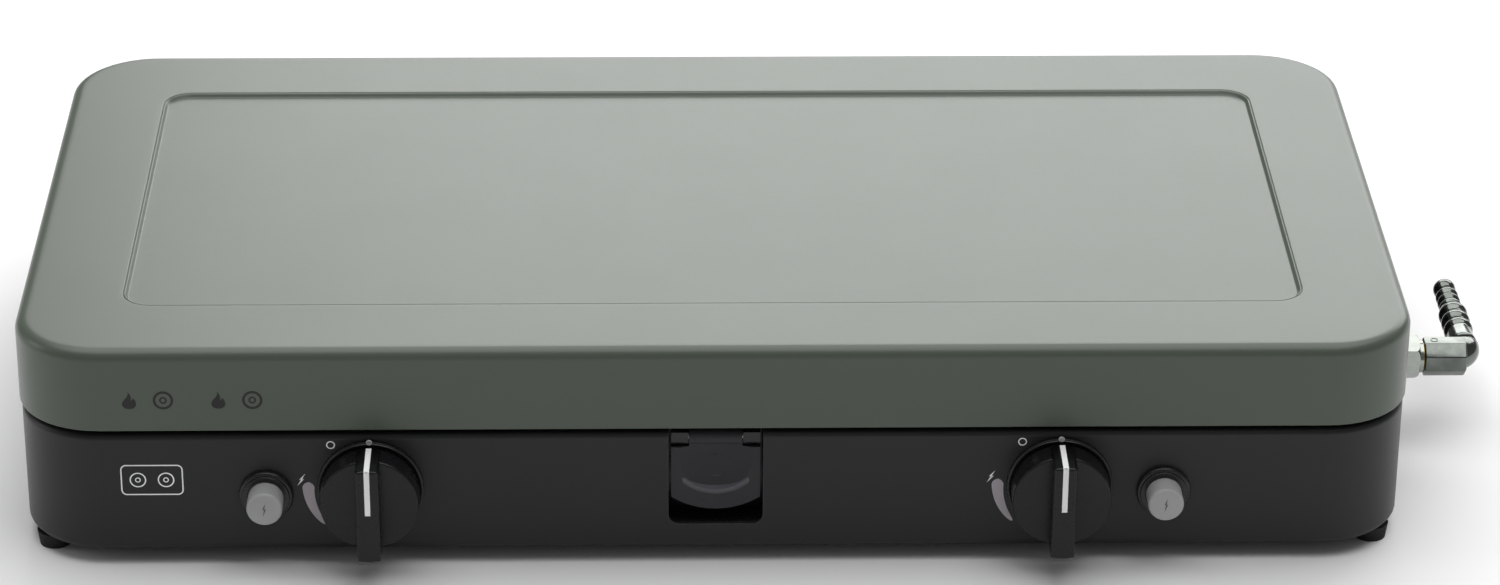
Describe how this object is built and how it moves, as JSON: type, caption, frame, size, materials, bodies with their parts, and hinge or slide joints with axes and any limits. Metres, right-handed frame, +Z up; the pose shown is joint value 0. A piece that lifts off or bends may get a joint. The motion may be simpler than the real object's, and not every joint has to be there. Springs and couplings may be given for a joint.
{
  "type": "camping stove",
  "caption": "Tabletop gas camping stove: black steel base with push-and-turn burner knobs, igniter buttons, hose inlet and a latched, hinged green lid.",
  "frame": {"origin": "on the surface it stands on, at the middle of the bounding box in plan", "axes": "+Z up, -Y out of the control panel towards the user, +X to the user's right"},
  "size_m": [0.584, 0.3112, 0.093],
  "materials": {
    "base_paint": "satin",
    "hob_enamel": "gloss",
    "lid_paint": "satin",
    "zinc_steel": "satin",
    "black_rubber": "matte",
    "hinge_paint": "satin",
    "knob_plastic": "satin",
    "trim_plastic": "satin",
    "latch_plastic": "matte",
    "valve_brass": "satin",
    "cast_aluminium": "cast",
    "support_enamel": "gloss",
    "ceramic": "glazed",
    "lead_silicone": "matte",
    "button_plastic": "satin",
    "nickel": "bright"
  },
  "bodies": {
    "base": {"base_tray": "base_paint", "hob_plate": "hob_enamel", "lid_bumpers": "black_rubber", "foot_front_left": "black_rubber", "foot_front_right": "black_rubber", "foot_rear_left": "black_rubber", "foot_rear_right": "black_rubber", "foot_screws": "zinc_steel", "hob_screws": "zinc_steel", "hinge_leaf_left": "hinge_paint", "hinge_leaf_right": "hinge_paint", "hinge_pins": "zinc_steel", "hinge_rivets": "zinc_steel", "knob_bezel_left": "trim_plastic", "knob_bezel_right": "trim_plastic", "valve_body_left": "valve_brass", "valve_body_right": "valve_brass", "valve_spring_left": "zinc_steel", "valve_spring_right": "zinc_steel", "gas_jet_left": "valve_brass", "gas_jet_right": "valve_brass", "mixing_tube_left": "cast_aluminium", "mixing_tube_right": "cast_aluminium", "burner_base_left": "cast_aluminium", "burner_base_right": "cast_aluminium", "burner_cap_left": "hob_enamel", "burner_cap_right": "hob_enamel", "pan_support_left": "support_enamel", "pan_support_right": "support_enamel", "electrode_left": "ceramic", "electrode_right": "ceramic", "ignition_lead_left": "lead_silicone", "ignition_lead_right": "lead_silicone", "igniter_body_left": "trim_plastic", "igniter_body_right": "trim_plastic", "igniter_collar_left": "trim_plastic", "igniter_collar_right": "trim_plastic", "igniter_spring_left": "zinc_steel", "igniter_spring_right": "zinc_steel", "gas_rail": "valve_brass", "inlet_nut": "nickel", "hose_elbow": "nickel", "latch_pocket": "trim_plastic", "latch_pin": "zinc_steel", "latch_spring": "zinc_steel"},
    "lid_assembly": {"lid": "lid_paint", "lid_striker": "zinc_steel", "lid_leaf_left": "hinge_paint", "lid_leaf_right": "hinge_paint", "lid_rivets": "zinc_steel"},
    "latch": {"latch_flap": "latch_plastic"},
    "push_left": {"stem_washer_left": "zinc_steel"},
    "knob_left_turning": {"knob_left": "knob_plastic", "valve_stem_left": "valve_brass"},
    "button_left": {"igniter_button_left": "button_plastic"},
    "push_right": {"stem_washer_right": "zinc_steel"},
    "knob_right_turning": {"knob_right": "knob_plastic", "valve_stem_right": "valve_brass"},
    "button_right": {"igniter_button_right": "button_plastic"}
  },
  "joints": [
    {"name": "lid_hinge", "type": "hinge", "parent": "base", "child": "lid_assembly", "pos_m": [-0.022, 0.15213, 0.059], "axis": [-1, 0, 0], "range_deg": [0, 100]},
    {"name": "latch_pull", "type": "hinge", "parent": "base", "child": "latch", "pos_m": [-0.022, -0.12762, 0.0535], "axis": [-1, 0, 0], "range_deg": [0, 30], "stiffness_Nm_per_rad": 0.05, "springref_deg": -14.32, "deforming": ["latch_spring"]},
    {"name": "knob_left_push", "type": "slide", "parent": "base", "child": "push_left", "axis": [0, 1, 0], "range_m": [0, 0.0025], "stiffness_N_per_m": 1500, "springref_m": -0.0015, "deforming": ["valve_spring_left"]},
    {"name": "knob_left_turn", "type": "hinge", "parent": "push_left", "child": "knob_left_turning", "pos_m": [-0.155, -0.14163, 0.0337], "axis": [0, -1, 0], "range_deg": [0, 135]},
    {"name": "igniter_left_press", "type": "slide", "parent": "base", "child": "button_left", "axis": [0, 1, 0], "range_m": [0, 0.005], "stiffness_N_per_m": 900, "springref_m": -0.003, "deforming": ["igniter_spring_left"]},
    {"name": "knob_right_push", "type": "slide", "parent": "base", "child": "push_right", "axis": [0, 1, 0], "range_m": [0, 0.0025], "stiffness_N_per_m": 1500, "springref_m": -0.0015, "deforming": ["valve_spring_right"]},
    {"name": "knob_right_turn", "type": "hinge", "parent": "push_right", "child": "knob_right_turning", "pos_m": [0.111, -0.14163, 0.0337], "axis": [0, -1, 0], "range_deg": [0, 135]},
    {"name": "igniter_right_press", "type": "slide", "parent": "base", "child": "button_right", "axis": [0, 1, 0], "range_m": [0, 0.005], "stiffness_N_per_m": 900, "springref_m": -0.003, "deforming": ["igniter_spring_right"]}
  ]
}
